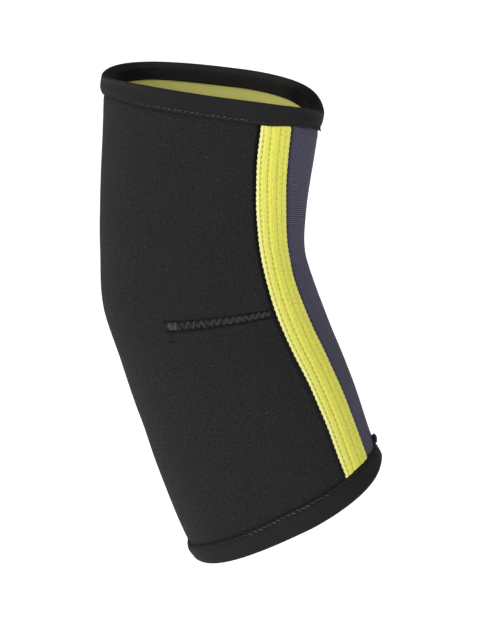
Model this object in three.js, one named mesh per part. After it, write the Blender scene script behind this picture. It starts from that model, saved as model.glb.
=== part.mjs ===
// Elbow brace: a bent sleeve of foam-backed fabric, open at both ends, as it stands on an arm.
// Millimetres, +Z up. +X is the crook of the arm, -X the point of the elbow, -Y the side seen first.
// The origin lies inside the sleeve, where the elbow's middle sits.
import * as THREE from 'three';

// Size of the sleeve as it stands on the arm
const upperLength = 110.9;
const lowerLength = 116.7;
const sleeveDepth = 112;
const sleeveWidth = 75;
const upperLean = THREE.MathUtils.degToRad(5.5);
const lowerLean = THREE.MathUtils.degToRad(23.5);
const bendRadius = 165;
const backRoundness = 2.2;

// Rims: the cut is lower at the crook and falls away along both sides
const topTilt = -2.8;
const topRaise = 5.9;
const bottomTilt = -4.9;
const bottomDrop = 6.2;

// Walls, and the air kept between the pieces
const clearance = 0.3;
const shellWall = 2.2;
const liningWall = 0.9;
const panelWall = 1.8;
const panelSink = 0.2;
const bindingWall = 1.05;
const topPuff = 0.3;
const bottomPuff = 0.1;
const tapeWall = 1.0;

// Bindings, tapes and the sewn dart
const topHem = 9.8;
const topInnerHem = 8.4;
const bottomHem = 11.6;
const bottomHemSlant = 1;
const bottomInnerHem = 10;
const tuckDepth = 0.5;
const tuckReach = 3.2;
const tapeWidth = 17.4;
const dartAt = -1.2;
const dartDepth = 0.8;
const dartReach = 1.7;
const dartFade = 0.07;
const dartStart = THREE.MathUtils.degToRad(63);
const dartEnd = THREE.MathUtils.degToRad(117);

// Facets
const aroundSteps = 48;
const bindingSteps = 54;

// at: share of the length above (+) or below (-) the elbow
// front, back: shares of the depth, from the widest line to the crook and to the elbow's side
// side: share of the width; blunt: how square the crook's side is (2 is round)
// seam: degrees round from the crook to the middle of the tape
const sections = [
  { at: -1.10, front: 0.402, back: 0.598, side: 0.487, blunt: 2.05, seam: 43.0 },
  { at: -0.85, front: 0.412, back: 0.600, side: 0.493, blunt: 2.10, seam: 42.2 },
  { at: -0.60, front: 0.436, back: 0.587, side: 0.507, blunt: 2.15, seam: 43.0 },
  { at: -0.35, front: 0.445, back: 0.562, side: 0.507, blunt: 2.20, seam: 44.8 },
  { at: -0.15, front: 0.440, back: 0.556, side: 0.500, blunt: 2.20, seam: 47.3 },
  { at: 0.05, front: 0.417, back: 0.586, side: 0.493, blunt: 2.25, seam: 49.6 },
  { at: 0.25, front: 0.386, back: 0.583, side: 0.487, blunt: 2.30, seam: 52.2 },
  { at: 0.50, front: 0.375, back: 0.601, side: 0.487, blunt: 2.35, seam: 59.8 },
  { at: 0.75, front: 0.386, back: 0.613, side: 0.493, blunt: 2.40, seam: 65.3 },
  { at: 1.10, front: 0.406, back: 0.634, side: 0.500, blunt: 2.50, seam: 67.3 },
];

// across: share of the tape's width; rise: share of its wall over the thin part between the rows
const tapeProfile = [
  { across: 0.00, rise: 0.75 },
  { across: 0.05, rise: 1.00 },
  { across: 0.11, rise: 0.80 },
  { across: 0.22, rise: 1.05 },
  { across: 0.33, rise: 0.80 },
  { across: 0.39, rise: 1.25 },
  { across: 0.57, rise: 1.25 },
  { across: 0.63, rise: 0.80 },
  { across: 0.73, rise: 1.05 },
  { across: 0.83, rise: 0.80 },
  { across: 0.95, rise: 1.00 },
  { across: 1.00, rise: 0.75 },
];

// Smooth course of one column of the table through all of its rows
function sectionValue(column, share) {
  const last = sections.length - 1;
  const x = THREE.MathUtils.clamp(share, sections[0].at, sections[last].at);
  let i = 0;
  while (i < last - 1 && x > sections[i + 1].at) {
    i += 1;
  }
  const slopeAt = (k) => {
    const low = sections[Math.max(k - 1, 0)];
    const high = sections[Math.min(k + 1, last)];
    return (high[column] - low[column]) / (high.at - low.at);
  };
  const span = sections[i + 1].at - sections[i].at;
  const t = (x - sections[i].at) / span;
  const fromStart = (2 * t - 3) * t * t + 1;
  return fromStart * sections[i][column]
    + (1 - fromStart) * sections[i + 1][column]
    + (t - 1) * (t - 1) * t * span * slopeAt(i)
    + (t - 1) * t * t * span * slopeAt(i + 1);
}

// Point and lean of the line down the middle of the arm, s mm above the elbow
function spineAt(s) {
  const start = (upperLean - lowerLean) / 2;
  const reach = bendRadius * (upperLean + lowerLean) / 2;
  const bent = THREE.MathUtils.clamp(s, -reach, reach);
  const lean = start + bent / bendRadius;
  const straight = s - bent;
  return {
    x: bendRadius * (Math.cos(start) - Math.cos(lean)) + straight * Math.sin(lean),
    z: bendRadius * (Math.sin(lean) - Math.sin(start)) + straight * Math.cos(lean),
    lean,
  };
}

const shareOf = (s) => s / (s > 0 ? upperLength : lowerLength);
const signedPower = (value, power) => Math.sign(value) * Math.abs(value) ** power;
const bell = (value) => Math.exp(-value * value);

// Point `out` mm outside the shell's face, at `angle` round from the crook (positive: the near side)
function surfaceAt(s, angle, out) {
  const share = shareOf(s);
  const spine = spineAt(s);
  const facing = Math.cos(angle);
  const reach = sleeveDepth * sectionValue(facing > 0 ? 'front' : 'back', share) + out;
  const half = sleeveWidth * sectionValue('side', share) + out;
  const power = 2 / (facing > 0 ? sectionValue('blunt', share) : backRoundness);
  const depth = reach * signedPower(facing, power);
  return new THREE.Vector3(
    spine.x + depth * Math.cos(spine.lean),
    -half * signedPower(Math.sin(angle), power),
    spine.z - depth * Math.sin(spine.lean),
  );
}

const sideways = (angle) => Math.abs(Math.sin(angle));
const topShift = (angle) => topTilt * Math.cos(angle) + topRaise * sideways(angle);
const bottomShift = (angle) => bottomTilt * Math.cos(angle) + bottomDrop * sideways(angle);
const topRim = (angle) => upperLength + topShift(angle);
const bottomRim = (angle) => -lowerLength - bottomShift(angle);
const topHemAt = () => topHem;
const bottomHemAt = (angle) => bottomHem + bottomHemSlant * Math.cos(angle);

// Level v runs from -1 at the bottom rim over 0 at the elbow to 1 at the top rim.
// Levels near a rim run along it.
function levelToLength(v, angle) {
  const along = THREE.MathUtils.smoothstep(Math.abs(v), 0.15, 0.85);
  return v > 0
    ? upperLength * v + topShift(angle) * along
    : lowerLength * v - bottomShift(angle) * along;
}

// How far the hem stitching draws the pieces in, and the shell's face with the dart's groove as well
function tuckAt(s, angle) {
  const fromTop = topRim(angle) - s - topHemAt(angle);
  const fromBottom = s - bottomRim(angle) - bottomHemAt(angle);
  return -tuckDepth * (bell(fromTop / tuckReach) + bell(fromBottom / tuckReach));
}

function layAt(s, angle) {
  const round = Math.abs(angle > Math.PI ? angle - 2 * Math.PI : angle);
  const onDart = THREE.MathUtils.smoothstep(round, dartStart - dartFade, dartStart + dartFade)
    * (1 - THREE.MathUtils.smoothstep(round, dartEnd - dartFade, dartEnd + dartFade));
  return tuckAt(s, angle) - dartDepth * onDart * bell((s - dartAt) / dartReach);
}

const seamAngle = (s) => THREE.MathUtils.degToRad(sectionValue('seam', shareOf(s)));

// Angle that lies `arc` mm round from the middle of the tape, towards the back
function angleFromSeam(s, arc) {
  const seam = seamAngle(s);
  const step = 0.05;
  let angle = seam;
  for (let pass = 0; pass < 3; pass += 1) {
    const middle = (seam + angle) / 2;
    const metric = surfaceAt(s, middle + step, 0).distanceTo(surfaceAt(s, middle - step, 0)) / (2 * step);
    angle = seam + arc / metric;
  }
  return angle;
}

// Place that lies `arc` mm round from the middle of the tape, at the height that lengthAt(angle) gives
function placeBySeam(lengthAt, arc) {
  let s = lengthAt(Math.PI / 4);
  let angle = seamAngle(s);
  for (let pass = 0; pass < 5; pass += 1) {
    angle = angleFromSeam(s, arc);
    s = lengthAt(angle);
  }
  return { s, angle };
}

const onLevel = (v) => (angle) => levelToLength(v, angle);

// Closed mesh from its points and triangles, with its faces turned outwards
function solid(name, points, triangles, look) {
  let volume = 0;
  const cross = new THREE.Vector3();
  for (const [a, b, c] of triangles) {
    volume += points[a].dot(cross.crossVectors(points[b], points[c]));
  }
  const outward = volume > 0 ? triangles : triangles.map(([a, b, c]) => [a, c, b]);
  const geometry = new THREE.BufferGeometry();
  const places = points.flatMap((p) => [p.x, p.y, p.z]);
  geometry.setAttribute('position', new THREE.Float32BufferAttribute(places, 3));
  geometry.setIndex(outward.flat());
  geometry.computeVertexNormals();
  const mesh = new THREE.Mesh(geometry, new THREE.MeshStandardMaterial(look));
  mesh.name = name;
  return mesh;
}

const quad = (a, b, c, d) => [[a, b, c], [a, c, d]];

// Sheet with two faces: pointAt(row, column, face) with face 0 outside and 1 inside
function wall(name, rows, columns, wraps, pointAt, look) {
  const points = [];
  for (let face = 0; face < 2; face += 1) {
    for (let i = 0; i < rows; i += 1) {
      for (let j = 0; j < columns; j += 1) {
        points.push(pointAt(i, j, face));
      }
    }
  }
  const at = (i, j, face) => (face * rows + i) * columns + (j % columns);
  const triangles = [];
  const spans = wraps ? columns : columns - 1;
  for (let j = 0; j < spans; j += 1) {
    for (let i = 0; i < rows - 1; i += 1) {
      triangles.push(...quad(at(i, j, 0), at(i, j + 1, 0), at(i + 1, j + 1, 0), at(i + 1, j, 0)));
      triangles.push(...quad(at(i, j, 1), at(i + 1, j, 1), at(i + 1, j + 1, 1), at(i, j + 1, 1)));
    }
    triangles.push(...quad(at(0, j, 1), at(0, j + 1, 1), at(0, j + 1, 0), at(0, j, 0)));
    const top = rows - 1;
    triangles.push(...quad(at(top, j, 0), at(top, j + 1, 0), at(top, j + 1, 1), at(top, j, 1)));
  }
  if (!wraps) {
    const end = columns - 1;
    for (let i = 0; i < rows - 1; i += 1) {
      triangles.push(...quad(at(i, 0, 0), at(i + 1, 0, 0), at(i + 1, 0, 1), at(i, 0, 1)));
      triangles.push(...quad(at(i, end, 1), at(i + 1, end, 1), at(i + 1, end, 0), at(i, end, 0)));
    }
  }
  return solid(name, points, triangles, look);
}

// Closed profile carried along: profiles is a list of equal rings of points, capOf an outline for the ends
function sweep(name, profiles, closed, capOf, look) {
  const size = profiles[0].length;
  const points = profiles.flat();
  const at = (i, j) => (i % profiles.length) * size + (j % size);
  const triangles = [];
  const spans = closed ? profiles.length : profiles.length - 1;
  for (let i = 0; i < spans; i += 1) {
    for (let j = 0; j < size; j += 1) {
      triangles.push(...quad(at(i, j), at(i, j + 1), at(i + 1, j + 1), at(i + 1, j)));
    }
  }
  if (!closed) {
    const faces = THREE.ShapeUtils.triangulateShape(capOf, []);
    const last = profiles.length - 1;
    const sample = faces[0];
    const along = THREE.ShapeUtils.area(sample.map((k) => capOf[k])) * THREE.ShapeUtils.area(capOf) > 0;
    const [near, far] = along ? [0, last] : [last, 0];
    for (const [a, b, c] of faces) {
      triangles.push([at(near, c), at(near, b), at(near, a)], [at(far, a), at(far, b), at(far, c)]);
    }
  }
  return solid(name, points, triangles, look);
}

// Levels of the rows of facets: evenly spread, closer at the dart and under the hems
function levels(even, close) {
  const spread = Array.from({ length: even + 1 }, (_, i) => -1 + 2 * i / even);
  const kept = spread.filter((v) => close.every((c) => Math.abs(v - c) > 0.6 / even || Math.abs(v) === 1));
  return [...kept, ...close].sort((a, b) => a - b);
}

const dartLevel = dartAt / lowerLength;
const topHemLevel = 1 - topHem / upperLength;
const bottomHemLevel = -1 + bottomHem / lowerLength;
const shellLevels = levels(16, [
  ...[-2.6, -1.1, 0, 1.1, 2.6].map((k) => dartLevel + k * dartReach / lowerLength),
  ...[-1.2, 0, 1].map((k) => topHemLevel + k * tuckReach / upperLength),
  ...[-1, 0, 1.2].map((k) => bottomHemLevel + k * tuckReach / lowerLength),
]);
const plainLevels = levels(12, [topHemLevel, bottomHemLevel]);

// Foam shell: one piece round the back, from seam to seam
const shellColumns = 38;
const shell = wall('neoprene_shell', shellLevels.length, shellColumns, false, (i, j, face) => {
  const v = shellLevels[i];
  const edge = placeBySeam(onLevel(v), clearance / 2).angle;
  const angle = edge + (2 * Math.PI - 2 * edge) * j / (shellColumns - 1);
  const s = levelToLength(v, angle);
  return surfaceAt(s, angle, face ? tuckAt(s, angle) - shellWall : layAt(s, angle));
}, { color: 0x2b2b2c, roughness: 0.9, metalness: 0 });

// Elastic panel down the crook, between the same two seams
const panelColumns = 9;
const panel = wall('elastic_panel', shellLevels.length, panelColumns, false, (i, j, face) => {
  const v = shellLevels[i];
  const edge = placeBySeam(onLevel(v), -clearance / 2).angle;
  const angle = edge - 2 * edge * j / (panelColumns - 1);
  const s = levelToLength(v, angle);
  return surfaceAt(s, angle, tuckAt(s, angle) - panelSink - face * panelWall);
}, { color: 0x474651, roughness: 0.85, metalness: 0 });

// Lining: a thin tube inside the shell and the panel, flush with them at both rims
const liningGap = shellWall + tuckDepth + clearance;
const lining = wall('lining', plainLevels.length, aroundSteps, true, (i, j, face) => {
  const angle = 2 * Math.PI * (j + 0.5) / aroundSteps;
  const s = levelToLength(plainLevels[i], angle);
  return surfaceAt(s, angle, -liningGap - face * liningWall);
}, { color: 0xb9b35c, roughness: 0.95, metalness: 0 });

// Seam tapes, sewn flat over the joints, from one binding to the other
const tapeUnder = [0.95, 0.5, 0.05];
const tapeRows = [
  (angle) => bottomRim(angle) + bottomHemAt(angle) + clearance,
  ...shellLevels.filter((v) => v > bottomHemLevel + 0.025 && v < topHemLevel - 0.01).map(onLevel),
  (angle) => topRim(angle) - topHemAt(angle) - clearance,
];
function seamTape(name, side) {
  const profiles = tapeRows.map((lengthAt) => {
    const ring = tapeProfile.map(({ across, rise }) => ({ across, out: clearance + rise * tapeWall }));
    ring.push(...tapeUnder.map((across) => ({ across, out: clearance })));
    return ring.map(({ across, out }) => {
      const { s, angle } = placeBySeam(lengthAt, (0.5 - across) * tapeWidth);
      return surfaceAt(s, side * angle, layAt(s, angle) + out);
    });
  });
  const outline = [
    ...tapeProfile.map(({ across, rise }) => new THREE.Vector2(across * tapeWidth, rise * tapeWall)),
    ...tapeUnder.map((across) => new THREE.Vector2(across * tapeWidth, 0)),
  ];
  return sweep(name, profiles, false, outline, { color: 0xe4e264, roughness: 0.8, metalness: 0 });
}

// Binding: a soft strip folded over the rim, outer leg and inner leg sewn through
// down: mm from the rim towards the elbow; out: mm outside the shell's face
function bindingProfile(hem, innerHem, puff) {
  const face = clearance;
  const back = -liningGap - liningWall - clearance;
  const middle = (face + back) / 2;
  const half = (face - back) / 2 + bindingWall;
  const turns = [140, 90, 40];
  const fold = turns.map((degrees) => THREE.MathUtils.degToRad(degrees)).map((turn) => ({
    down: -clearance - bindingWall * Math.sin(turn),
    out: middle - half * Math.cos(turn),
  }));
  return [
    { down: hem, out: face },
    { down: hem, out: face + 0.6 * bindingWall },
    { down: hem - 1.6, out: face + bindingWall },
    { down: hem * 0.5, out: face + bindingWall + puff },
    { down: 0.8, out: face + bindingWall },
    ...fold,
    { down: 0.8, out: back - bindingWall },
    { down: innerHem - 1, out: back - bindingWall },
    { down: innerHem, out: back - 0.6 * bindingWall },
    { down: innerHem, out: back },
    { down: -clearance, out: back },
    { down: -clearance, out: face },
  ];
}

function binding(name, { rim, hemAt, innerHem, puff, towardElbow }, look) {
  const profiles = Array.from({ length: bindingSteps }, (_, k) => {
    const angle = 2 * Math.PI * (k + 0.5) / bindingSteps;
    return bindingProfile(hemAt(angle), innerHem, puff).map(({ down, out }) => {
      const s = rim(angle) + towardElbow * down;
      const onOuterLeg = out > -liningGap && down > 0;
      return surfaceAt(s, angle, out + (onOuterLeg ? tuckAt(s, angle) : 0));
    });
  });
  return sweep(name, profiles, true, [], look);
}

const topEdge = {
  rim: topRim,
  hemAt: topHemAt,
  innerHem: topInnerHem,
  puff: topPuff,
  towardElbow: -1,
};
const bottomEdge = {
  rim: bottomRim,
  hemAt: bottomHemAt,
  innerHem: bottomInnerHem,
  puff: bottomPuff,
  towardElbow: 1,
};
const bindingLook = { color: 0x2a2a2b, roughness: 0.85, metalness: 0 };

const brace = new THREE.Group();
brace.name = 'elbow_brace';
brace.add(
  shell,
  panel,
  lining,
  seamTape('seam_tape_near', 1),
  seamTape('seam_tape_far', -1),
  binding('top_binding', topEdge, bindingLook),
  binding('bottom_binding', bottomEdge, bindingLook),
);

export default brace;
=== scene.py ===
import math

import bpy
import numpy as np
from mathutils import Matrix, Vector


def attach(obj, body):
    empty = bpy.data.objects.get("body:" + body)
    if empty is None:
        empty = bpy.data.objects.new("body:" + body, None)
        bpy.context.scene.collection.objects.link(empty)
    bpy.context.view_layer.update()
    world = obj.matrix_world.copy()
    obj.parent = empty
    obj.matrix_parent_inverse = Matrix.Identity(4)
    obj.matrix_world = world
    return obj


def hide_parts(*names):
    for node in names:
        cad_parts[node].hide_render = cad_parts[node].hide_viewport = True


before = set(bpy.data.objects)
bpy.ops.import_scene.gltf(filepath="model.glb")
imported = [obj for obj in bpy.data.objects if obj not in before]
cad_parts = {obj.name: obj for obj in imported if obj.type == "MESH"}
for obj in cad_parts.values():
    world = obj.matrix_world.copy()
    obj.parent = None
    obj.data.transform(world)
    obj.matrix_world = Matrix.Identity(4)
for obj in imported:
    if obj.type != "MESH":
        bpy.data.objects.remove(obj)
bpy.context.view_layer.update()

# Camera: the photograph's view from the side and a little above; sizes in mm, places in photo pixels
view = dict(
    distance=2200, elevation=15.5, pixel=0.53, sensor=36,
    across=480, down=624, originX=227.5, originY=300,
)


def placeCamera():
    data = bpy.data.cameras.new("camera")
    data.sensor_fit = "VERTICAL"
    data.sensor_height = view["sensor"]
    data.lens = view["sensor"] * view["distance"] / view["pixel"] / view["down"]
    data.shift_x = (view["across"] / 2 - view["originX"]) / view["down"]
    data.shift_y = (view["originY"] - view["down"] / 2) / view["down"]
    data.clip_end = 50
    camera = bpy.data.objects.new("camera", data)
    lift = math.radians(view["elevation"])
    away = view["distance"] / 1000
    camera.location = (0, -away * math.cos(lift), away * math.sin(lift))
    camera.rotation_euler = (math.pi / 2 - lift, 0, 0)
    bpy.context.scene.collection.objects.link(camera)
    bpy.context.scene.camera = camera


placeCamera()
print("camera placed")

# Form of the sleeve, in mm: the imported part's sizes, with its rims turned as softly as the photograph's
form = dict(
    upperLength=110.9, lowerLength=116.7, depth=112, width=75,
    upperLean=math.radians(5.5), lowerLean=math.radians(23.5), bendRadius=165, backRoundness=2.2,
    topTilt=-2.8, topRaise=5.8, bottomTilt=-4.9, bottomDrop=6.3, rimEase=0.3,
    topHem=9.8, bottomHem=11.6, bottomHemSlant=1, tuckDepth=0.45, tuckReach=1.7,
    clearance=0.3, slack=0.5, shellWall=2.2, liningWall=0.9,
)
# Sections by shares: at of the length from the bend, front and back of the depth, side of the width
columns = ("at", "front", "back", "side", "blunt", "seam")
sections = [
    (-1.10, 0.402, 0.598, 0.487, 2.05, 43.0),
    (-0.85, 0.412, 0.600, 0.493, 2.10, 42.2),
    (-0.60, 0.436, 0.587, 0.507, 2.15, 43.0),
    (-0.35, 0.445, 0.562, 0.507, 2.20, 44.8),
    (-0.15, 0.440, 0.556, 0.500, 2.20, 47.3),
    (0.05, 0.417, 0.586, 0.493, 2.25, 49.6),
    (0.25, 0.386, 0.583, 0.487, 2.30, 52.2),
    (0.50, 0.375, 0.601, 0.487, 2.35, 59.8),
    (0.75, 0.386, 0.613, 0.493, 2.40, 65.3),
    (1.10, 0.406, 0.634, 0.500, 2.50, 67.3),
]
table = {name: np.array([row[k] for row in sections]) for k, name in enumerate(columns)}
liningGap = form["shellWall"] + form["slack"] + form["clearance"]


# Smooth curve through one column of the sections
def sectionValue(name, s):
    share = s / np.where(s > 0, form["upperLength"], form["lowerLength"])
    at, value = table["at"], table[name]
    low = np.maximum(np.arange(len(at)) - 1, 0)
    high = np.minimum(np.arange(len(at)) + 1, len(at) - 1)
    slope = (value[high] - value[low]) / (at[high] - at[low])
    i = np.clip(np.searchsorted(at, share) - 1, 0, len(at) - 2)
    span = at[i + 1] - at[i]
    t = np.clip((share - at[i]) / span, 0, 1)
    start = (2 * t - 3) * t * t + 1
    bend = (t - 1) ** 2 * t * slope[i] + (t - 1) * t * t * slope[i + 1]
    return start * value[i] + (1 - start) * value[i + 1] + span * bend


# Point s mm up the centre line from the bend, at an angle round it from the crook, out mm off the outer face
def surfaceAt(s, angle, out):
    s, angle, out = np.broadcast_arrays(*(np.asarray(a, float) for a in (s, angle, out)))
    start = (form["upperLean"] - form["lowerLean"]) / 2
    radius = form["bendRadius"]
    reach = radius * (form["upperLean"] + form["lowerLean"]) / 2
    bent = np.clip(s, -reach, reach)
    lean = start + bent / radius
    x = radius * (math.cos(start) - np.cos(lean)) + (s - bent) * np.sin(lean)
    z = radius * (np.sin(lean) - math.sin(start)) + (s - bent) * np.cos(lean)
    facing, aside = np.cos(angle), np.sin(angle)
    front = facing > 0
    power = 2 / np.where(front, sectionValue("blunt", s), form["backRoundness"])
    half = form["depth"] * np.where(front, sectionValue("front", s), sectionValue("back", s)) + out
    depth = half * np.sign(facing) * np.abs(facing) ** power
    side = (form["width"] * sectionValue("side", s) + out) * np.sign(aside) * np.abs(aside) ** power
    return np.stack([x + depth * np.cos(lean), -side, z - depth * np.sin(lean)], axis=-1)


# 0 over the crook and the back, 1 at the sides
def sideways(angle):
    square = np.sin(angle) ** 2
    return (1 + form["rimEase"]) * square / (square + form["rimEase"])


# Steps (mm, from angle, to angle) and bumps (mm, at angle, reach) added up at an angle
def coursed(angle, steps, bumps):
    turned = folded(angle)
    stepped = sum(size * smoothstep(low, high, turned) for size, low, high in steps)
    return stepped + sum(size * bell((turned - at) / reach) for size, at, reach in bumps)


# The top rim stands up at the back and is drawn down over the crook
def endShift(angle):
    return coursed(angle, (), ((1.2, math.pi, 0.42), (-1.5, 0, 0.5)))


def topShift(angle):
    return form["topTilt"] * np.cos(angle) + form["topRaise"] * sideways(angle) + endShift(angle)


def bottomShift(angle):
    return form["bottomTilt"] * np.cos(angle) + form["bottomDrop"] * sideways(angle)


def topRim(angle):
    return form["upperLength"] + topShift(angle)


def bottomRim(angle):
    return -form["lowerLength"] - bottomShift(angle)


# Angle from the crook, the same on both sides
def folded(angle):
    return np.abs(np.mod(np.asarray(angle, float) + math.pi, 2 * math.pi) - math.pi)


# How the hems' heights change round the sleeve, in steps and bumps
topHemSteps = ((0.8, 1.02, 1.3), (0.8, 0.6, 0.1), (-3.0, 2.2, 3.05))
topHemBumps = ((-0.4, 0.95, 0.25),)
bottomHemSteps = ((-1.4, 1.15, 0.6), (-3.4, 0.6, 0.1), (-4.2, 2.42, 3.14))
bottomHemBumps = ((0.8, 0.76, 0.14), (0.95, 1.62, 0.3))


def topHem(angle):
    return form["topHem"] + coursed(angle, topHemSteps, topHemBumps) + endShift(angle)


def bottomHem(angle):
    slant = form["bottomHemSlant"] * np.cos(angle)
    return form["bottomHem"] + slant + coursed(angle, bottomHemSteps, bottomHemBumps)


def bell(value):
    return np.exp(-value * value)


def smoothstep(low, high, value):
    t = np.clip((value - low) / (high - low), 0, 1)
    return t * t * (3 - 2 * t)


# Length along the sleeve at level v, -1 to 1 from rim to rim; the rims' tilt fades towards the bend
def levelToLength(v, angle):
    along = smoothstep(0.15, 0.85, np.abs(v))
    upper = form["upperLength"] * v + topShift(angle) * along
    lower = form["lowerLength"] * v - bottomShift(angle) * along
    return np.where(v > 0, upper, lower)


# How far the cloth is drawn in along both hems
def tuckAt(s, angle):
    fromTop = topRim(angle) - s - topHem(angle)
    fromBottom = s - bottomRim(angle) - bottomHem(angle)
    reach = form["tuckReach"]
    return -form["tuckDepth"] * (bell(fromTop / reach) + bell(fromBottom / reach))


def angleFromSeam(s, arc, probe=0.05):
    seam = np.radians(sectionValue("seam", s))
    angle = seam
    for _ in range(3):
        middle = (seam + angle) / 2
        step = surfaceAt(s, middle + probe, 0) - surfaceAt(s, middle - probe, 0)
        angle = seam + arc / (np.linalg.norm(step, axis=-1) / (2 * probe))
    return angle


# Place arc mm round from the middle of the tape (towards the back), at the height lengthAt gives
def placeBySeam(lengthAt, arc):
    s = lengthAt(np.full(np.shape(arc), math.pi / 4))
    for _ in range(5):
        angle = angleFromSeam(s, arc)
        s = lengthAt(angle)
    return s, angle


# Sewing marks shared by the cloth and the threads, in mm
sewing = dict(pitch=2.85, thread=0.24, drift=0.16, unevenLean=0.5, unevenPlace=0.35)
dart = dict(
    s=-1.2, sag=-0.7, rise=0.9, start=math.radians(63), end=math.radians(117.5), radius=58,
    sink=0.45, strip=(1.6, 3.2), valley=0.75, valleyAt=2.35, valleyReach=0.65, lips=0.2, lipsAt=4,
    nick=0.4, nickAt=6.3, nickTall=0.7, nickTurn=0.03, height=3.6, period=3.4, endStrokes=8, endSpan=5,
)


def dartLine(angle):
    t = (angle - dart["start"]) / (dart["end"] - dart["start"])
    return dart["s"] + dart["sag"] * (1 - t) ** 3 + dart["rise"] * np.clip(t, 0, 1) ** 3


# Sunk strip of the dart between two narrow valleys, and the painted shade at each place of it
def dartGroove(s, angle):
    turned = folded(angle)
    fade = smoothstep(dart["start"] - 0.1, dart["start"], turned)
    fade = fade * (1 - smoothstep(dart["end"], dart["end"] + 0.035, turned))
    offset = np.abs(s - dartLine(turned))
    valley = bell((offset - dart["valleyAt"]) / dart["valleyReach"])
    strip = 1 - smoothstep(*dart["strip"], offset)
    lips = dart["lips"] * bell(offset - dart["lipsAt"])
    along = turned * dart["radius"]
    uneven = 0.6 * np.sin(along * 2.3 + 1) * np.sin(along * 0.9) + 0.4 * np.sin(along * 0.47 + 2)
    beat = 0.7 + 0.2 * np.cos(4 * math.pi * along / dart["period"]) + 0.25 * uneven
    atEnd = smoothstep(dart["end"] - 0.1, dart["end"] - 0.03, turned)
    nick = bell((turned - dart["end"] + 0.01) / dart["nickTurn"])
    nick = nick * bell((s - dart["s"] + dart["nickAt"]) / dart["nickTall"])
    depth = fade * (lips - dart["sink"] * strip - dart["valley"] * valley * beat) - dart["nick"] * nick
    # Painted shade: deep in the valleys, faint over the strip, deeper towards the end and in the nick's pit
    paintedShade = fade * (0.05 * strip + (0.75 + 0.2 * atEnd) * valley * beat)
    return depth, np.clip(paintedShade + 0.8 * nick, 0, 1)


# Painted shadow in the gap along the hems, darker at the needle holes of the bottom one; at the top it fades
# towards the front
hemShadow = dict(
    topAt=0.3, topReach=0.8, atFront=0.05, atBack=0.45,
    bottomAt=0.15, bottomReach=0.55, atBottom=0.45, needles=0.12,
)


def hemShade(s, angle):
    fromTop = topRim(angle) - s - topHem(angle) - hemShadow["topAt"]
    fromBottom = s - bottomRim(angle) - bottomHem(angle) - hemShadow["bottomAt"]
    towardsBack = hemShadow["atFront"] + hemShadow["atBack"] * smoothstep(1.8, 2.5, folded(angle))
    needles = hemShadow["needles"] * np.sin(angle * 101 + 3 * np.sin(angle * 7)) * np.sin(angle * 37)
    atTop = bell(fromTop / hemShadow["topReach"]) * towardsBack
    atBottom = bell(fromBottom / hemShadow["bottomReach"]) * (hemShadow["atBottom"] + needles)
    return np.maximum(atTop, atBottom)


def arcLengths(points, axis):
    steps = np.linalg.norm(np.diff(points, axis=axis), axis=-1)
    total = np.cumsum(steps, axis=axis)
    pad = [(0, 0), (0, 0)]
    pad[axis] = (1, 0)
    return np.pad(total, pad)


# One closed piece of cloth between two grids of points (stations, across), in mm
def clothMesh(name, top, bottom, wraps, u=None, v=None, shade=None):
    stations, across = top.shape[:2]
    looped = np.concatenate([top, top[:1]]) if wraps else top
    u = arcLengths(looped, 0) if u is None else u
    v = arcLengths(looped, 1) if v is None else v
    rows = stations + (1 if wraps else 0)
    grid = np.arange(2 * rows * across).reshape(2, rows, across)
    real = (np.arange(rows) % stations)[None, :, None] * across + np.arange(across)[None, None, :]
    real = real + np.array([0, stations * across])[:, None, None]

    def quads(g):
        return np.stack([g[:-1, :-1], g[1:, :-1], g[1:, 1:], g[:-1, 1:]], axis=-1).reshape(-1, 4)

    a, b = grid
    faces = [quads(a), quads(b)[:, ::-1]]
    faces += [quads(np.stack([b[:, 0], a[:, 0]], 1)), quads(np.stack([a[:, -1], b[:, -1]], 1))]
    if not wraps:
        faces += [quads(np.stack([a[0], b[0]])), quads(np.stack([b[-1], a[-1]]))]
    faces = np.concatenate(faces)
    points = np.concatenate([top.reshape(-1, 3), bottom.reshape(-1, 3)])
    corners = points[real.reshape(-1)[faces]]
    turned = np.cross(corners[:, 1] - corners[:, 0], corners[:, 3] - corners[:, 0])
    if np.sum(corners.mean(axis=1) * turned) < 0:
        faces = faces[:, ::-1]
    spots = np.stack([np.tile(u.reshape(-1), 2), np.tile(v.reshape(-1), 2)], axis=-1)
    if shade is not None:
        shade = np.concatenate([shade.reshape(-1), np.zeros(bottom.shape[0] * across)])
    return addPiece(name, points, real.reshape(-1)[faces].tolist(), spots[faces.reshape(-1)], shade)


# Piece from points in mm and faces, with a place on the cloth for each corner, and for each point the
# cloth's painted shade or how faint a thread is
def addPiece(name, points, faces, spots, shade=None):
    mesh = bpy.data.meshes.new(name)
    mesh.from_pydata((points.reshape(-1, 3) / 1000).tolist(), [], faces)
    mesh.uv_layers.new(name="cloth").uv.foreach_set("vector", spots.reshape(-1).astype(np.float32))
    if shade is not None:
        mesh.attributes.new("shade", "FLOAT", "POINT").data.foreach_set("value", shade.astype(np.float32))
    mesh.shade_smooth()
    piece = bpy.data.objects.new(name, mesh)
    bpy.context.scene.collection.objects.link(piece)
    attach(piece, "root")
    return piece


# Tube skin over rings of points (..., rings, sides, 3): its faces, and the two ends
def tubeFaces(count, rings, sides):
    index = np.arange(count * rings * sides).reshape(count, rings, sides)
    following = np.roll(index, -1, axis=2)
    skin = [index[:, :-1], following[:, :-1], following[:, 1:], index[:, 1:]]
    faces = np.stack(skin, axis=-1).reshape(-1, 4).tolist()
    return faces + index[:, 0, ::-1].tolist() + index[:, -1].tolist()


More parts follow.
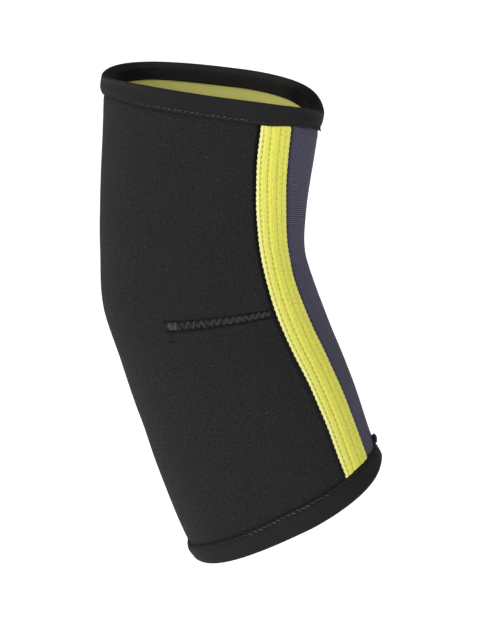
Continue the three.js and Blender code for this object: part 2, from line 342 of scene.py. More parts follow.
# Many short round threads in one mesh: paths (threads, points, 3), with normals to lie flat by
def threadMesh(name, paths, normals, radii, faded, sides=6):
    tangent = np.gradient(paths, axis=1)
    tangent /= np.linalg.norm(tangent, axis=-1, keepdims=True)
    across = np.cross(tangent, normals)
    across /= np.linalg.norm(across, axis=-1, keepdims=True)
    up = np.cross(across, tangent)
    turn = np.arange(sides) * 2 * math.pi / sides
    aside, above = (wave(turn)[None, None, :, None] for wave in (np.cos, np.sin))
    spread = aside * across[:, :, None] + above * up[:, :, None]
    points = paths[:, :, None] + radii[None, :, None, None] * spread
    count, rings = paths.shape[:2]
    faces = tubeFaces(count, rings, sides)
    along = np.broadcast_to(arcLengths(paths, 1)[:, :, None], (count, rings, sides))
    around = np.broadcast_to(turn, (count, rings, sides))
    spots = np.stack([along.reshape(-1), around.reshape(-1)], axis=-1)
    marks = np.repeat(np.broadcast_to(faded, (count,)), rings * sides)
    return addPiece(name, points, faces, spots[np.concatenate(faces)], marks)


# Procedural materials: a Field is a shader socket that works in sums like a number
class Field:
    def __init__(self, look, socket):
        self.look = look
        self.socket = socket

    def math(self, operation, *others):
        return self.look.node("Math", dict(operation=operation), dict(enumerate((self, *others))))

    def __add__(self, other):
        return self.math("ADD", other)

    def __radd__(self, other):
        return self.math("ADD", other)

    def __sub__(self, other):
        return self.math("SUBTRACT", other)

    def __rsub__(self, other):
        return self.math("MULTIPLY_ADD", -1, other)

    def __mul__(self, other):
        return self.math("MULTIPLY", other)

    def __rmul__(self, other):
        return self.math("MULTIPLY", other)

    def __truediv__(self, other):
        return self.math("DIVIDE", other)

    def wave(self, period):
        return (self * (2 * math.pi / period)).math("COSINE")

    def near(self, target, reach):
        offset = (self - target) / reach
        return (offset * offset * -1).math("EXPONENT")

    def between(self, low, high):
        settings = dict(interpolation_type="SMOOTHSTEP")
        return self.look.node("MapRange", settings, {"Value": self, "From Min": low, "From Max": high})


class Sky:
    def __init__(self, tree):
        self.tree = tree

    def node(self, kind, settings, values, output=0):
        node = self.tree.nodes.new("ShaderNode" + kind)
        for name, value in settings.items():
            setattr(node, name, value)
        for key, value in values.items():
            if isinstance(value, Field):
                self.tree.links.new(value.socket, node.inputs[key])
            else:
                node.inputs[key].default_value = value
        return Field(self, node.outputs[output])


class Look(Sky):
    def __init__(self, name):
        self.material = bpy.data.materials.new(name)
        self.material.use_nodes = True
        super().__init__(self.material.node_tree)
        self.shader = self.tree.nodes["Principled BSDF"]
        flat = self.node("SeparateXYZ", {}, {0: self.node("UVMap", dict(uv_map="cloth"), {})})
        self.u = flat
        self.v = Field(self, flat.socket.node.outputs[1])
        self.place = self.node("TexCoord", {}, {}, "Object")

    def spot(self, stretchU=1, stretchV=1):
        return self.node("CombineXYZ", {}, {0: self.u * stretchU, 1: self.v * stretchV})

    def mark(self, name):
        return self.node("Attribute", dict(attribute_name=name), {}, "Fac")

    def noise(self, scale, detail=2, spot=None, rough=0.5):
        values = {"Vector": spot or self.place, "Scale": scale, "Detail": detail, "Roughness": rough}
        return self.node("TexNoise", {}, values, "Fac")

    def mix(self, factor, first, second, blend="MIX"):
        values = {0: factor, 6: first, 7: second}
        return self.node("Mix", dict(data_type="RGBA", blend_type=blend), values, 2)

    def shade(self, colour, factor):
        grey = self.node("CombineColor", {}, {0: factor, 1: factor, 2: factor})
        return self.mix(1.0, colour, grey, "MULTIPLY")

    def finish(self, colour, height, depth, roughness=0.9, strength=1.0, sheen=0.0, specular=0.2):
        bump = self.node("Bump", {}, {"Strength": strength, "Distance": depth / 1000, "Height": height})
        for name, value in (("Base Color", colour), ("Normal", bump), ("Roughness", roughness)):
            if isinstance(value, Field):
                self.tree.links.new(value.socket, self.shader.inputs[name])
            else:
                self.shader.inputs[name].default_value = value
        self.shader.inputs["Specular IOR Level"].default_value = specular
        self.shader.inputs["Sheen Weight"].default_value = sheen
        self.shader.inputs["Sheen Roughness"].default_value = 0.5
        return self.material


def linear(red, green, blue):
    tone = [((c / 255 + 0.055) / 1.055) ** 2.4 for c in (red, green, blue)]
    return (*tone, 1.0)


# Foam shell: one piece round the back, from seam to seam
shellSize = dict(
    flat=(0.238, 0.232), ripple=0.1, pull=0.6, pinch=0.15, tucked=1.7,
    levels=(-1, -0.955, -0.87, -0.076, 0.045, 0.87, 0.955, 1), levelRows=(0, 3, 25, 76, 118, 167, 189, 192),
    turns=(0, 0.05, 0.075, 0.3, 0.7, 0.925, 0.95, 1), turnColumns=(0, 5, 15, 92, 150, 227, 237, 242),
)
shellLook = dict(colour=linear(32, 32, 32), fleck=linear(96, 96, 94), loop=1.15, row=0.95)


def shellMaterial():
    look = Look("shellCloth")
    loops = look.u.wave(shellLook["loop"]) * look.v.wave(shellLook["row"])
    grain = look.noise(0.85, 3, look.spot(1, 0.8), 0.65)
    patch = look.noise(28, 2)
    flecks = look.noise(0.75, 1, look.spot(), 0.4).between(0.64, 0.8)
    # The shade mark darkens the colour: painted shade from the dart, the tapes' edges and the hems
    tone = (grain * 2.4 + patch * 0.18 - 0.31) * (1 - look.mark("shade") * 0.9)
    colour = look.mix(flecks * 0.22, look.shade(shellLook["colour"], tone), shellLook["fleck"])
    return look.finish(colour, loops * 0.35 + grain * 1.8, 0.45, 0.92, 0.8, 0.03, 0.1)


# Values spread over rows, closer together where the marks are
def spreadOver(marks, values):
    return np.interp(np.arange(marks[-1] + 1), marks, values)


# The under side of a cloth ends a little before its rim
def tuckedEnd(v):
    return smoothstep(0.96, 1, v)


def makeShell():
    v = spreadOver(shellSize["levelRows"], shellSize["levels"])[:, None]
    share = spreadOver(shellSize["turnColumns"], shellSize["turns"])[None, :]
    edge = placeBySeam(lambda a: levelToLength(v, a), np.full(v.shape, form["clearance"] / 2))[1]
    angle = edge + (2 * math.pi - 2 * edge) * share
    s = levelToLength(v, angle)
    tuck = tuckAt(s, angle)
    around = surfaceAt(s, angle, 0)
    height = around[..., 2]
    soft = shellSize["ripple"] * np.sin(height / 9 + 2 * np.sin(angle)) * np.sin(3 * angle + height / 23)
    groove, shade = dartGroove(s, angle)
    run = arcLengths(around, 1)
    fromTape = np.minimum(run, run[:, -1:] - run) - tapeSize["width"] / 2
    pull = bell((fromTape - 0.5) / 1.1)
    pinch = 0.5 + 0.5 * np.cos(2 * math.pi * s / (3 * sewing["pitch"]) + np.sin(s / 9))
    # Painted shadow on the shell beside the tapes' edges and along the hems, over the dart's painted shade
    shade = np.maximum(shade, 0.95 * bell((fromTape - 0.6) / 1.1))
    shade = np.maximum(shade, hemShade(s, angle))
    pull = pull * (shellSize["pull"] + shellSize["pinch"] * pinch)
    top = surfaceAt(s, angle, tuck + groove + soft - pull)
    under = surfaceAt(s - shellSize["tucked"] * tuckedEnd(v), angle, tuck - form["shellWall"])
    piece = clothMesh("neopreneShell", top, under, False, shade=shade)
    piece.data.materials.append(shellMaterial())
    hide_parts("neoprene_shell")
    threads = makeDartThreads()


# Elastic panel in the crook, ribbed across
panelSize = dict(
    rows=240, columns=96, wall=1.8, sink=0.2, pull=0.6, tucked=1.4, tapeSpan=210, flat=(0.066, 0.205),
)
panelLook = dict(colour=linear(74, 72, 90), rib=1.1, bow=1.2)


def panelMaterial():
    look = Look("panelElastic")
    rib = look.u.wave(panelLook["rib"])
    yarn = look.noise(0.9, 3, look.spot(1.6, 0.6), 0.65)
    patch = look.noise(30, 2)
    # The shade mark darkens the colour: painted shadow beside the tapes and along the hems
    tone = (0.4 + rib * 0.3 + yarn * 0.9 + patch * 0.2) * (1 - look.mark("shade") * 0.95)
    colour = look.shade(panelLook["colour"], tone)
    return look.finish(colour, rib * 0.8 + yarn * 0.6, 0.3, 0.85, 0.8, 0.05, 0.15)


def makePanel():
    v = np.linspace(-1, 1, panelSize["rows"])[:, None]
    share = np.linspace(-1, 1, panelSize["columns"])[None, :]
    edge = placeBySeam(lambda a: levelToLength(v, a), np.full(v.shape, -form["clearance"] / 2))[1]
    angle = edge * share
    s = levelToLength(v, angle)
    face = tuckAt(s, angle) - panelSize["sink"]
    top = surfaceAt(s, angle, face)
    run = arcLengths(top, 1)
    covered = tapeSize["width"] / 2 * crookSide(0.5 + s / panelSize["tapeSpan"])
    fromTape = np.minimum(run, run[:, -1:] - run) - covered
    # Painted shadow on the panel beside the tapes' edges and along the hems
    shade = np.maximum(bell((fromTape - 0.7) / 1.25), hemShade(s, angle))
    top = surfaceAt(s, angle, face - panelSize["pull"] * bell((fromTape - 0.6) / 1.1))
    length = arcLengths(top, 0).mean(axis=1, keepdims=True) + panelLook["bow"] * (1 - share ** 2)
    under = surfaceAt(s - panelSize["tucked"] * tuckedEnd(v), angle, face - panelSize["wall"])
    piece = clothMesh("elasticPanel", top, under, False, np.broadcast_to(length, s.shape), shade=shade)
    piece.data.materials.append(panelMaterial())
    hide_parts("elastic_panel")


# Lining: a thin tube of brushed jersey
liningSize = dict(rows=90, around=120, topLevel=0.973, flat=(0.285, 0.235))
liningLook = dict(colour=linear(202, 198, 114), loop=0.9, row=0.8)


def liningMaterial():
    look = Look("liningJersey")
    loops = look.u.wave(liningLook["loop"]) * look.v.wave(liningLook["row"])
    nap = look.noise(0.9, 3, look.spot(0.35, 1.2), 0.65)
    tone = 0.82 + nap * 0.3 + look.noise(35, 2) * 0.08
    return look.finish(look.shade(liningLook["colour"], tone), loops * 0.3 + nap, 0.3, 0.95, 0.6, 0.1, 0.15)


def makeLining():
    angle = (np.arange(liningSize["around"]) * 2 * math.pi / liningSize["around"])[:, None]
    s = levelToLength(np.linspace(-1, liningSize["topLevel"], liningSize["rows"])[None, :], angle)
    top = surfaceAt(s, angle, -liningGap)
    under = surfaceAt(s, angle, -liningGap - form["liningWall"])
    piece = clothMesh("liningTube", top, under, True)
    piece.data.materials.append(liningMaterial())
    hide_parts("lining")


# Seam tapes: four rows of stitching, a raised band of ribs between the second and third
tapeSize = dict(width=17.4, rows=430, columns=54, wall=1.0, flat=(0.0174, 0.206))
tapeForm = dict(
    ribs=0.02, band=0.22, bandFrom=(0.33, 0.39), bandTo=(0.57, 0.63), hole=0.19, holeReach=0.62,
    edge=0.35, edgeReach=0.55, drawn=0.12, scallop=0.01, wander=0.009, shift=0.37, stitch=0.66,
)
# For each row: its place across, how strong the dents and painted shade of its holes are, how far it sinks,
# how faint its thread is
tapeRows = (0.11, 0.33, 0.63, 0.83)
tapeFade = (0.8, 1.0, 0.7, 0.65)
tapeSink = (0.24, 0.26, 0.09, 0.08)
tapeFaint = (0, 0, 0.5, 0.55)
# Colours of the tape; hole is the painted shade in the stitch holes
tapeLook = dict(
    colour=linear(213, 211, 88), hole=linear(150, 147, 54),
    edge=linear(222, 220, 150), fleck=linear(176, 173, 62), rib=1.05,
)


# Height of the tape's face over its back, as a share of its wall
def tapeRise(across, along):
    ribs = np.cos(across * tapeSize["width"] * 2 * math.pi / tapeLook["rib"])
    rise = 1 + tapeForm["ribs"] * ribs + 0 * along
    band = smoothstep(*tapeForm["bandFrom"], across) * (1 - smoothstep(*tapeForm["bandTo"], across))
    rise += tapeForm["band"] * band
    for k, row in enumerate(tapeRows):
        offset = (across - row) * tapeSize["width"]
        hole = 0.5 + 0.5 * np.cos(2 * math.pi * (along / sewing["pitch"] + tapeForm["shift"] * k))
        rise -= (tapeSink[k] + tapeForm["hole"] * hole) * bell(offset / tapeForm["holeReach"])
    edge = np.minimum(across, 1 - across) * tapeSize["width"]
    return rise - tapeForm["edge"] * bell(edge / tapeForm["edgeReach"])


def tapeLength(share, angle):
    low = bottomRim(angle) + bottomHem(angle) + form["clearance"]
    high = topRim(angle) - topHem(angle) - form["clearance"]
    return low + (high - low) * share


# Length run along a line of points, from 0
def lengthRun(line):
    return np.concatenate([[0], np.cumsum(np.linalg.norm(np.diff(line, axis=0), axis=-1))])


# Shares along the tape, and the length along its middle at each of them
tapeMarks = np.linspace(0, 1, 300)
tapeMiddle = placeBySeam(lambda a: tapeLength(tapeMarks, a), np.zeros(len(tapeMarks)))
tapeRun = lengthRun(surfaceAt(*tapeMiddle, 0))


# Share of the tape's half width on the side of the crook, where its upper part is drawn together
def crookSide(share):
    return 1 - tapeForm["drawn"] * smoothstep(0.4, 0.62, share)


# Place on the tape by shares along and across it
def onTape(share, across):
    share, across = np.broadcast_arrays(share, across)
    drawn = 0.5 - across
    drawn = np.where(drawn < 0, drawn * crookSide(share), drawn)
    return placeBySeam(lambda a: tapeLength(share, a), drawn * tapeSize["width"])


def tapeMaterial():
    look = Look("seamTape")
    across = look.v / tapeSize["width"]
    # Stitch holes: dents in the bump, and painted shade in the colour
    holeDentsAndShade = None
    for k, row in enumerate(tapeRows):
        beat = ((look.u / sewing["pitch"] + tapeForm["shift"] * k) * (2 * math.pi)).math("COSINE")
        spot = (beat.between(0.2, 1.0) * 0.85 + 0.15) * across.near(row, 0.021) * tapeFade[k]
        holeDentsAndShade = spot if holeDentsAndShade is None else holeDentsAndShade + spot
    holeDentsAndShade = holeDentsAndShade * (look.noise(0.3, 1, look.spot()) * 1.6 + 0.25)
    ribs = look.v.wave(tapeLook["rib"])
    weave = look.u.wave(0.62) * look.v.wave(0.7)
    yarn = look.noise(0.8, 3, look.spot(0.45, 1.5), 0.65)
    pale = look.noise(0.12, 2, look.spot(0.5, 1), 0.5)
    rim = across.math("MINIMUM", 1 - across).between(0.06, 0.0)
    bands = across.between(0.3, 0.16) * 0.35 + across.between(0.12, 0.03) * 0.5
    bands = bands + across.between(0.86, 0.93) * 0.3
    tone = 0.72 + yarn * 0.46 + ribs * 0.02 + look.noise(40, 2) * 0.06
    colour = look.shade(tapeLook["colour"], tone)
    worn = across.between(0.34, 0.5) * across.between(0.95, 0.85)
    flecks = look.noise(0.95, 2, look.spot(0.6, 1.2), 0.6).between(0.52, 0.68) * worn
    colour = look.mix(flecks * 0.75, colour, tapeLook["fleck"])
    colour = look.mix(rim * 0.55 + bands * pale, colour, tapeLook["edge"])
    colour = look.mix(holeDentsAndShade * 0.62, colour, tapeLook["hole"])
    height = weave * 0.25 + yarn * 0.6 + ribs * 0.2 - holeDentsAndShade * 0.6
    return look.finish(colour, height, 0.3, 0.8, 0.7, 0.05, 0.25)


def makeTape(name, node, side, material, threadCloth):
    share = np.linspace(0, 1, tapeSize["rows"])[:, None]
    across = (0.5 - 0.5 * np.cos(np.linspace(0, math.pi, tapeSize["columns"])))[None, :]
    across = 0.6 * np.linspace(0, 1, tapeSize["columns"])[None, :] + 0.4 * across
    along = np.interp(share, tapeMarks, tapeRun)
    scallop = tapeForm["scallop"] * np.sin(2 * math.pi * along / sewing["pitch"])
    scallop = scallop + tapeForm["wander"] * np.sin(along / 7.3) * np.sin(along / 11)
    placed = across + scallop * (np.abs(2 * across - 1) ** 8) * np.sign(across - 0.5)
    s, angle = onTape(share, placed)
    face = tuckAt(s, angle) + form["clearance"]
    top = surfaceAt(s, side * angle, face + tapeSize["wall"] * tapeRise(across, along))
    under = surfaceAt(s, side * angle, face)
    u = np.broadcast_to(along, s.shape)
    v = np.broadcast_to(across * tapeSize["width"], s.shape)
    piece = clothMesh(name, top, under, False, u, v)
    piece.data.materials.append(material)
    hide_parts(node)
    threads = makeTapeThreads(name + "Threads", side, threadCloth)


# Bindings: a soft strip folded over each rim, sewn through near its edge
bindingSize = dict(around=600, leg=22, over=15, wall=1.05, girth=300, flat=(0.024, 0.300))
bindingLook = dict(colour=linear(30, 29, 29), loop=0.8, row=0.7)
bindings = (
    dict(
        name="topBinding", node="top_binding", rim=topRim, hem=topHem, toward=-1,
        inner=8.3, backInner=-0.7, puff=(0.1, 0.5), slope=1.8, crestHighlight=1, pull=0.7,
        inset=1.7, lean=0.35, thread=1.15, stitch=0.66, shown=(2.5, 2.1, 1.6, 1.2),
    ),
    dict(
        name="bottomBinding", node="bottom_binding", rim=bottomRim, hem=bottomHem, toward=1,
        inner=10, backInner=0, puff=(0.0, 0.6), slope=0, crestHighlight=0, pull=0.8,
        inset=1.0, lean=0.6, thread=1.6, stitch=0.82, shown=(2.3, 1.85, 1.45, 1.05),
    ),
)


def bindingMaterial():
    look = Look("bindingJersey")
    loops = look.u.wave(bindingLook["loop"]) * look.v.wave(bindingLook["row"])
    grain = look.noise(0.9, 3, look.spot(), 0.6)
    # The shade mark darkens the colour with painted shade and, below zero, lightens it with painted highlight
    tone = (0.39 + grain * 1.25 + look.noise(40, 2) * 0.14) * (1 - look.mark("shade") * 0.8)
    colour = look.shade(bindingLook["colour"], tone)
    return look.finish(colour, loops * 0.3 + grain * 1.1, 0.35, 0.9, 0.7, 0.04, 0.08)


# The fold's face, in mm: where its leg starts, its waves and seam, and how thin its edges run out
foldForm = dict(
    start=0.6, wave=0.12, waveAt=2.2, seam=0.2, stitch=0.15, seamReach=0.7, innerSeam=0.25,
    lip=0.45, lipReach=0.4, innerLipReach=0.5, drawnReach=4.5,
)


# How far the bindings are drawn in over the crook
def drawnIn(settings, angle, fromEdge):
    crook = smoothstep(0.75, 0.25, folded(angle))
    return settings["pull"] * crook * bell(fromEdge / foldForm["drawnReach"])


# Painted shade and highlight on the fold's face: shade at its edge, in the holes beside its stitches,
# towards the front of its outer leg, inside its turns and along its inner edge; highlight by its edge and
# crest
def foldShade(settings, angle, stitch, down, fromEdge, turn, fromInnerEdge):
    turned, inset = folded(angle), settings["inset"]
    atFront, atBack = smoothstep(1.1, 0.65, turned), smoothstep(2.1, 2.6, turned)
    shown = smoothstep(2.6, 2.1, turned) * smoothstep(0.85, 1.3, turned)
    crestHighlight = (atFront + atBack) * settings["crestHighlight"]
    outer = 0.6 * bell(fromEdge / foldForm["lipReach"]) - 0.3 * shown * bell((fromEdge - 0.6 * inset) / 0.5)
    outer += 0.65 * shown * stitch * bell((fromEdge - inset - 0.75) / 0.45)
    outer += 0.42 * smoothstep(1.15, 0.4, turned)
    # Painted highlight along the crest of the fold at front and back
    outer -= 0.8 * crestHighlight * bell((down - 0.6) / 0.7)
    over = (atFront + atBack) * 1.1 * smoothstep(2.45, 2.05, turn)
    over -= 0.8 * crestHighlight * bell((turn - 2.75) / 0.25)
    inner = 1.05 * atFront + 0.75 * atBack
    inner = inner + (1 - atFront - atBack) * 0.5 * bell(fromInnerEdge / 0.8)
    return np.concatenate([outer, over, inner])


# Fold's course from the outer hem over the rim to the inner hem: mm from the rim and mm outside the
# shell, for its face and its back, and the painted shade and highlight on its face
def foldCourse(settings, angle, hem, inner):
    puff, slope, inset = settings["puff"], settings["slope"], settings["inset"]
    face, back = form["clearance"], -liningGap - form["liningWall"] - form["clearance"]
    wall, middle = bindingSize["wall"], (face + back) / 2
    half = (face - back) / 2
    leg = np.linspace(0, 1, bindingSize["leg"])
    turn = np.radians(np.linspace(170, 10, bindingSize["over"]))
    down = hem - (hem - foldForm["start"]) * leg ** 1.5
    wave = np.sin(angle * 23 + 2 * np.sin(angle * 5)) * 0.5 + 0.5
    stitch = 0.5 + 0.5 * np.cos(angle * round(bindingSize["girth"] / sewing["pitch"]))
    fromEdge = hem - down
    fullness = puff[0] + (puff[1] - puff[0]) * (0.5 - 0.5 * math.cos(angle))
    bulge = fullness * np.sin(math.pi * np.clip(fromEdge / hem, 0, 1))
    bulge += foldForm["wave"] * wave * bell((fromEdge - inset - foldForm["waveAt"]) / 2)
    depth = foldForm["seam"] + foldForm["stitch"] * stitch
    seam = -depth * bell((fromEdge - inset) / foldForm["seamReach"])
    drawn = drawnIn(settings, angle, fromEdge)
    under = face - drawn
    lip = -foldForm["lip"] * wall * (bell(fromEdge / foldForm["lipReach"]) + drawn)
    outer = np.stack([down, under + wall + bulge + seam + lip], -1)
    inward = middle - (half + wall) * np.cos(turn)
    sunk = slope * smoothstep(face + wall, back - wall, inward)
    over = np.stack([sunk - form["clearance"] - wall * np.sin(turn), inward], -1)
    downIn = slope + foldForm["start"] + (inner - slope - foldForm["start"]) * leg
    lipIn = foldForm["lip"] * wall * bell((inner - downIn) / foldForm["innerLipReach"])
    seamIn = foldForm["innerSeam"] * bell((inner - downIn - inset) / foldForm["seamReach"])
    inside = np.stack([downIn, back - wall + lipIn + seamIn], -1)
    topSide = np.concatenate([outer, over, inside])
    across = np.linspace(face, back, bindingSize["over"])
    sunkUnder = slope * smoothstep(face + wall, back - wall, across) - form["clearance"]
    underLegs = np.stack([down, under], -1), np.stack([downIn, np.full(len(leg), back)], -1)
    underside = np.concatenate([underLegs[0], np.stack([sunkUnder, across], -1), underLegs[1]])
    shade = foldShade(settings, angle, stitch, down, fromEdge, turn, inner - downIn)
    return topSide, underside, shade


def makeBinding(settings, material, threadCloth, makeEnd):
    angles = np.arange(bindingSize["around"]) * 2 * math.pi / bindingSize["around"]
    innerHem = settings["inner"] + settings["backInner"] * smoothstep(1.75, 2.4, folded(angles))
    hems = settings["hem"](angles)
    sides = [foldCourse(settings, *place) for place in zip(angles, hems, innerHem)]
    grids = []
    for k in range(2):
        course = np.array([pair[k] for pair in sides])
        s = settings["rim"](angles)[:, None] + settings["toward"] * course[..., 0]
        angle = np.broadcast_to(angles[:, None], s.shape)
        outerLeg = (course[..., 1] > -liningGap) & (course[..., 0] > 0)
        grids.append(surfaceAt(s, angle, course[..., 1] + np.where(outerLeg, tuckAt(s, angle), 0)))
    shade = np.array([side[2] for side in sides])
    piece = clothMesh(settings["name"], grids[0], grids[1], True, shade=shade)
    piece.data.materials.append(material)
    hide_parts(settings["node"])
    extras = [makeHemThreads(settings, threadCloth), makeEnd(material)]


# Tucked end of the bottom binding: a small knob over the hem at the front
bindingEnd = dict(above=1.8, out=0.75, tall=2.2, wide=3.7, thick=1.35, rings=26, sides=36)


# Power of a sine or cosine that keeps its sign: squares off a round form
def squared(value, power):
    return np.sign(value) * np.abs(value) ** power


def makeBindingEnd(material):
    lift = np.linspace(0.02, math.pi - 0.02, bindingEnd["rings"])[:, None]
    turn = (np.arange(bindingEnd["sides"]) * 2 * math.pi / bindingEnd["sides"])[None, :]
    crease = 1 + 0.05 * np.sin(3 * turn + 1) * np.sin(lift) + 0.04 * np.sin(5 * lift)
    rise, spread = np.cos(lift), np.sin(lift)
    along = bottomRim(0) + bottomHem(0) + bindingEnd["above"] + bindingEnd["tall"] * squared(rise, 0.7)
    along = along + 0 * turn
    aside = bindingEnd["wide"] * spread ** 0.6 * squared(np.cos(turn), 0.7) * crease + 0.25 * rise
    out = bindingEnd["out"] + bindingEnd["thick"] * spread ** 0.8 * np.sin(turn) * crease
    points = surfaceAt(along, 0, out) - np.stack([0 * aside, aside, 0 * aside], -1)
    faces = tubeFaces(1, *points.shape[:2])
    spots = np.stack([(lift * 3 + 0 * turn).reshape(-1), (turn * 2 + 0 * lift).reshape(-1)], -1)
    piece = addPiece("bindingEnd", points, faces, spots[np.concatenate(faces)])
    piece.data.materials.append(material)
    return piece


# Threads: tape rows, hems and the zigzag over the darts
threadLook = dict(tape=linear(172, 169, 66), hem=linear(68, 68, 68), dart=linear(70, 70, 70))


def threadMaterial(name, colour, cloth):
    look = Look(name)
    twist = (look.u * 9 + look.v).math("SINE")
    worn = look.noise(800, 2).between(0.3, 0.7)
    shown = look.mix(look.mark("shade"), look.shade(colour, 0.66 + twist * 0.08 + worn * 0.55), cloth)
    return look.finish(shown, twist, 0.05, 0.75, 0.5, 0, 0.2)


# Points of the threads on one side, and the directions that stand off the cloth there
def threadPaths(s, angle, out, side):
    path = surfaceAt(s, side * angle, out)
    above = surfaceAt(s, side * angle, out + 1) - path
    return path, above / np.linalg.norm(above, axis=-1, keepdims=True)


def taper(points, low=0.35):
    t = np.linspace(-1, 1, points)
    return low + (1 - low) * np.sqrt(1 - t ** 4)


def makeTapeThreads(name, side, material):
    points = 7
    t = np.linspace(-0.5, 0.5, points)
    count = int(tapeRun[-1] / sewing["pitch"]) - 1
    paths, normals = [], []
    for k, row in enumerate(tapeRows):
        middle = (np.arange(count) + 1 - tapeForm["shift"] * k % 1) * sewing["pitch"]
        along = middle[:, None] + t * sewing["pitch"] * tapeForm["stitch"]
        s, angle = onTape(np.interp(along, tapeRun, tapeMarks), np.full(along.shape, row))
        lift = tapeSize["wall"] * tapeRise(np.full(along.shape, row), along) + form["clearance"]
        out = tuckAt(s, angle) + lift - 0.05 + 0.12 * (1 - (2 * t) ** 2)
        path, normal = threadPaths(s, angle, out, side)
        paths.append(path)
        normals.append(normal)
    faded = np.repeat(tapeFaint, count)
    radii = sewing["thread"] * taper(points)
    piece = threadMesh(name, np.concatenate(paths), np.concatenate(normals), radii, faded)
    piece.data.materials.append(material)
    return piece


def makeHemThreads(settings, material):
    points = 7
    t = np.linspace(-0.5, 0.5, points)
    marks = np.linspace(0, 2 * math.pi, 721)
    inset = settings["hem"](marks) - settings["inset"]
    line = surfaceAt(settings["rim"](marks) + settings["toward"] * inset, marks, 0)
    run = lengthRun(line)
    count = round(run[-1] / sewing["pitch"])
    chance = np.random.default_rng(7)
    drift, lean, tone = chance.uniform(-1, 1, (3, count, 1))
    middle = (np.arange(count)[:, None] + sewing["drift"] * drift) * run[-1] / count
    along = middle + t * sewing["pitch"] * settings["stitch"]
    angle = np.interp(along % run[-1], run, marks)
    leaning = (1 + sewing["unevenLean"] * lean) * 2 * t
    aside = settings["lean"] * (leaning + sewing["unevenPlace"] * tone)
    s = settings["rim"](angle) + settings["toward"] * (settings["hem"](angle) - settings["inset"] + aside)
    out = tuckAt(s, angle) + form["clearance"] + bindingSize["wall"] - 0.08 + 0.22 * (1 - (2 * t) ** 2)
    out -= (1 + foldForm["lip"] * bindingSize["wall"]) * drawnIn(settings, angle, settings["inset"])
    path, normal = threadPaths(s, angle, out, 1)
    turned = folded(angle[:, points // 2])
    backEnd, back, front, frontEnd = settings["shown"]
    hidden = smoothstep(back, backEnd, turned) + 0.9 * smoothstep(front, frontEnd, turned)
    faded = np.clip(hidden + 0.22 + 0.4 * tone[:, 0], 0, 0.95)
    radii = sewing["thread"] * settings["thread"] * taper(points)
    piece = threadMesh(settings["name"] + "Threads", path, normal, radii, faded)
    piece.data.materials.append(material)
    return piece


# Frayed corner of the top binding at the front: each end's angle, length, and how far it stands out and falls
looseEnds = ((0.05, 1.9, 0.4, 0.45), (0.1, 1.3, 0.2, 0.3), (0.0, 1.1, 0.3, 0.2))


def makeLooseEnds(material):
    t = np.linspace(0, 1, 8)
    paths = []
    for turn, length, outward, drop in looseEnds:
        root = surfaceAt(topRim(turn) - topHem(turn) + 0.9, turn, 0.15)
        away = surfaceAt(topRim(turn) - topHem(turn), turn, 5) - root
        away = away / np.linalg.norm(away)
        fall = np.array([0, -0.2, -drop])
        bent = t[:, None] * (outward * away + fall) + (t[:, None] ** 2) * 0.35 * fall
        paths.append(root + length * bent)
    paths = np.array(paths)
    normals = np.broadcast_to((0.0, -1.0, 0.0), paths.shape)
    piece = threadMesh("looseEnds", paths, normals, 0.6 - 0.46 * t, 0)
    piece.data.materials.append(material)
    return piece


# Zigzag along the dart with a shorter one over it, and a cluster of strokes at its end
def makeDartThreads():
    points = 9
    t = np.linspace(0, 1, points)
    marks = np.linspace(dart["start"] + 0.01, dart["end"], 200)
    line = surfaceAt(dartLine(marks), marks, 0)
    run = lengthRun(line)
    half = dart["period"] / 2
    count = int(run[-1] / half)
    start = [k * half for k in range(count)] + [(k + 0.6) * half for k in range(count - 4)]
    step = [half] * (2 * count - 4)
    flip = [k % 2 for k in range(2 * count - 4)]
    for k in range(dart["endStrokes"]):
        start.append(run[-1] - dart["endSpan"] + 0.64 * k)
        step.append(0.5 * math.sin(5 * k))
        flip.append(k % 2)
    start, step, flip = (np.array(a, float)[:, None] for a in (start, step, flip))
    along = start + t * step
    angle = np.interp(along, run, marks)
    swing = (2 * flip - 1) * (2 * t - 1)
    chance = np.random.default_rng(3)
    size, shift, tone = chance.uniform(-1, 1, (3, len(start), 1))
    atEnd = start > run[-1] - dart["endSpan"] - 0.5
    second = (np.arange(len(start))[:, None] >= count) & ~atEnd
    reach = dart["height"] / 2 * (1 + 0.2 * size) * np.where(second, 0.7, 1)
    s = dartLine(angle) + swing * reach + 0.3 * shift
    out = dartGroove(s, angle)[0] + tuckAt(s, angle) + 0.12
    out = out + 0.2 * (1 - (2 * t - 1) ** 2) - 0.15 * np.abs(swing) ** 8
    paths, normals = zip(*(threadPaths(s, angle, out, side) for side in (1, -1)))
    faded = np.where(atEnd, 0.28 + 0.6 * tone, 0.42 + 0.45 * tone + 0.25 * second)
    faded = np.tile(np.clip(faded[:, 0], -0.3, 1), 2)
    radii = sewing["thread"] * 1.35 * taper(points)
    piece = threadMesh("dartThreads", np.concatenate(paths), np.concatenate(normals), radii, faded)
    piece.data.materials.append(threadMaterial("dartThread", threadLook["dart"], shellLook["colour"]))
    return piece


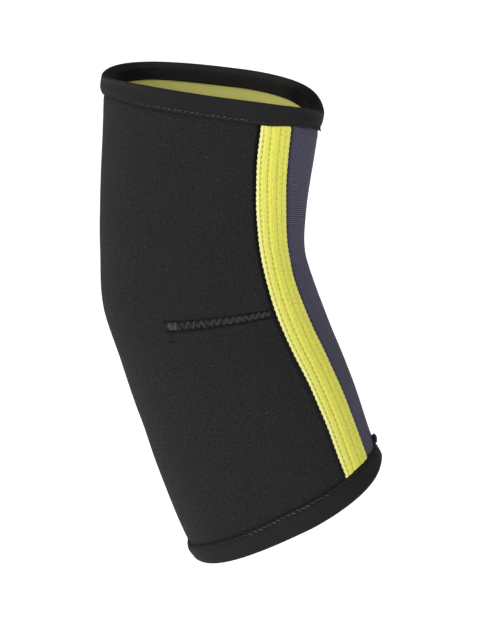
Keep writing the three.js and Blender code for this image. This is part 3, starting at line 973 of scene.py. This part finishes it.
makeLining()
makeShell()
makePanel()
print("lining, shell and panel made")
tapeCloth = tapeMaterial()
tapeThread = threadMaterial("tapeThread", threadLook["tape"], tapeLook["colour"])
makeTape("seamTapeNear", "seam_tape_near", 1, tapeCloth, tapeThread)
makeTape("seamTapeFar", "seam_tape_far", -1, tapeCloth, tapeThread)
print("tapes made")
bindingCloth = bindingMaterial()
hemThread = threadMaterial("hemThread", threadLook["hem"], bindingLook["colour"])
for settings, makeEnd in zip(bindings, (makeLooseEnds, makeBindingEnd)):
    makeBinding(settings, bindingCloth, hemThread, makeEnd)
print("bindings made")

# Studio: white floor and sky, a broad soft light from the upper left front
studio = dict(
    sky=0.14, glow=2.06, glowFrom=(-0.6, -0.8, 0.0),
    floorAt=-0.365, floorReach=9, floorTone=0.9, floorGlow=0.5,
    key=5, keySize=1.7, keyPlace=(-1.7, -2.2, 1.2),
)


def makeStudio():
    reach, drop = studio["floorReach"], studio["floorAt"]
    mesh = bpy.data.meshes.new("floor")
    corners = [(x, y, drop) for x, y in ((-reach, -reach), (reach, -reach), (reach, reach), (-reach, reach))]
    mesh.from_pydata(corners, [], [(0, 1, 2, 3)])
    floor = bpy.data.objects.new("floor", mesh)
    bpy.context.scene.collection.objects.link(floor)
    pale = bpy.data.materials.new("floorPale")
    pale.use_nodes = True
    shader = pale.node_tree.nodes["Principled BSDF"]
    shader.inputs["Base Color"].default_value = (studio["floorTone"],) * 3 + (1,)
    shader.inputs["Roughness"].default_value = 0.9
    shader.inputs["Emission Color"].default_value = (1, 1, 1, 1)
    shader.inputs["Emission Strength"].default_value = studio["floorGlow"]
    mesh.materials.append(pale)
    world = bpy.data.worlds.new("studio")
    world.use_nodes = True
    sky = Sky(world.node_tree)
    background = world.node_tree.nodes["Background"]
    background.inputs["Color"].default_value = (1, 1, 1, 1)
    facing = {0: sky.node("TexCoord", {}, {}, "Generated"), 1: studio["glowFrom"]}
    toward = sky.node("VectorMath", dict(operation="DOT_PRODUCT"), facing, "Value")
    glow = toward.between(-0.1, 0.85) * studio["glow"] + studio["sky"]
    world.node_tree.links.new(glow.socket, background.inputs["Strength"])
    bpy.context.scene.world = world
    light = bpy.data.lights.new("key", "AREA")
    light.energy = studio["key"]
    light.size = studio["keySize"]
    lamp = bpy.data.objects.new("key", light)
    lamp.location = studio["keyPlace"]
    lamp.rotation_euler = (-Vector(studio["keyPlace"])).to_track_quat("-Z", "Y").to_euler()
    bpy.context.scene.collection.objects.link(lamp)
    bpy.context.scene.view_settings.view_transform = "Standard"


makeStudio()
print("studio made")
